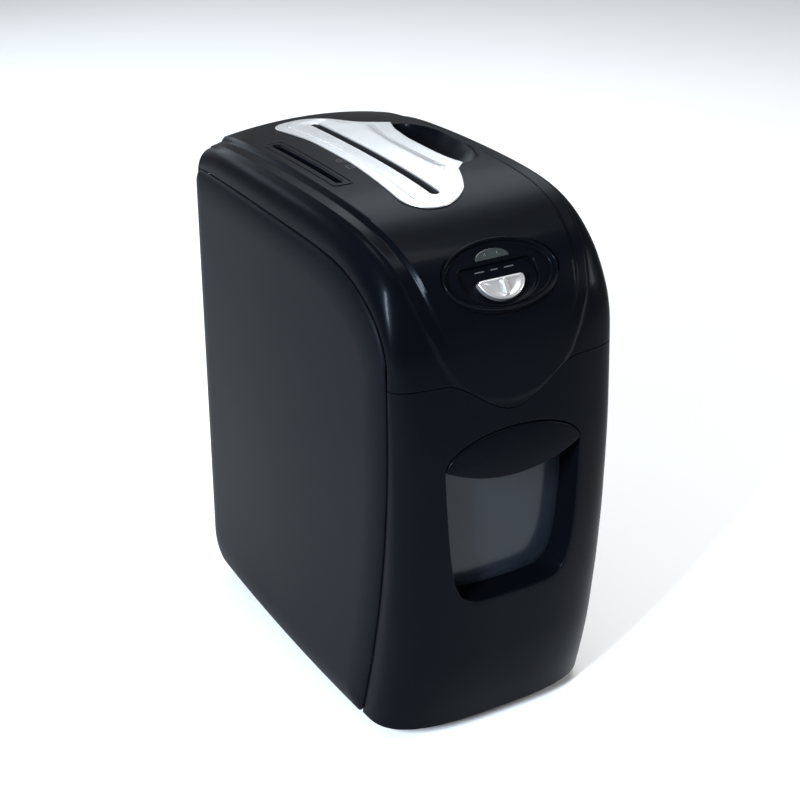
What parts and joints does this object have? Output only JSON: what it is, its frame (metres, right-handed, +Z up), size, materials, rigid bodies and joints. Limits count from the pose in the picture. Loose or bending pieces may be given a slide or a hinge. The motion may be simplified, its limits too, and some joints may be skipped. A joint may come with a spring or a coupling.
{
  "type": "paper shredder",
  "caption": "Upright office paper shredder: top-fed throat and disc slot, slide switch, twin cutter head and a pull-out bin with a smoked window.",
  "frame": {"origin": "centre of the footprint on the floor, under the feet", "axes": "+Z up, -Y to the front where the bin pulls out, +X to the right seen from the front; the throat runs along Y"},
  "size_m": [0.238, 0.3873, 0.4743],
  "materials": {
    "housing": "satin gloss black",
    "panel": "fine matte charcoal",
    "silver": "satin silver",
    "smoked": "smoked, clear",
    "inner": "moulded black",
    "rubber": "soft black",
    "zinc": "zinc plated",
    "steel": "ground steel",
    "nylon": "natural nylon",
    "board": "green laminate",
    "lamp": "tinted lens"
  },
  "bodies": {
    "housing": {"top_cover": "housing", "rear_panel": "housing", "finger_scoop": "housing", "side_panel_left": "panel", "side_panel_right": "panel", "throat_plate": "silver", "base_tray": "inner", "disc_bezel": "inner", "control_bezel": "inner", "runner_left": "inner", "runner_right": "inner", "head_base": "inner", "power_inlet": "inner", "mode_switch": "inner", "interlock_switch": "inner", "foot_front_left": "rubber", "foot_front_right": "rubber", "foot_back_left": "rubber", "foot_back_right": "rubber", "frame_front": "zinc", "frame_back": "zinc", "tie_rod_1": "zinc", "tie_rod_2": "zinc", "tie_rod_3": "zinc", "idler_pin": "zinc", "motor_body": "zinc", "paper_guide_left": "zinc", "paper_guide_right": "zinc", "disc_guide_lower": "zinc", "disc_guide_upper": "zinc", "rear_screw_1": "zinc", "rear_screw_2": "zinc", "rear_screw_3": "zinc", "rear_screw_4": "zinc", "circuit_board": "board", "paper_sensor_left": "board", "paper_sensor_right": "board", "indicator_lens": "lamp", "lamp_ready": "lamp", "lamp_overheat": "lamp"},
    "bin": {"bin_front": "housing", "pull_visor": "housing", "window_pane": "smoked", "bin_tub": "inner", "bin_bracket_left": "inner", "bin_bracket_right": "inner", "interlock_magnet": "inner"},
    "knob": {"mode_knob": "silver"},
    "cutter_left_body": {"cutter_left": "steel", "sync_gear_left": "nylon"},
    "cutter_right_body": {"cutter_right": "steel", "sync_gear_right": "nylon", "drive_gear": "nylon"},
    "reduction": {"idler_gear_small": "nylon", "idler_gear_large": "nylon"},
    "rotor": {"motor_shaft": "steel", "motor_pinion": "nylon"}
  },
  "joints": [
    {"name": "bin_slide", "type": "slide", "parent": "housing", "child": "bin", "axis": [0, -1, 0], "range_m": [0, 0.28]},
    {"name": "mode_slide", "type": "slide", "parent": "housing", "child": "knob", "axis": [1, 0, 0], "range_m": [-0.011, 0.011]},
    {"name": "cutter_right_spin", "type": "hinge", "parent": "housing", "child": "cutter_right_body", "pos_m": [0.011, 0.043, 0.395], "axis": [0, 1, 0], "continuous": true},
    {"name": "cutter_left_spin", "type": "hinge", "parent": "housing", "child": "cutter_left_body", "pos_m": [-0.022, 0.043, 0.395], "axis": [0, 1, 0], "continuous": true},
    {"name": "reduction_spin", "type": "hinge", "parent": "housing", "child": "reduction", "pos_m": [0.03919, 0.174, 0.38474], "axis": [0, 1, 0], "continuous": true},
    {"name": "rotor_spin", "type": "hinge", "parent": "housing", "child": "rotor", "pos_m": [0.06431, 0.174, 0.37801], "axis": [0, 1, 0], "continuous": true}
  ],
  "couplings": [
    {"joint": "cutter_left_spin", "follows": "cutter_right_spin", "ratio": -1},
    {"joint": "reduction_spin", "follows": "cutter_right_spin", "ratio": -3},
    {"joint": "rotor_spin", "follows": "cutter_right_spin", "ratio": 9}
  ]
}
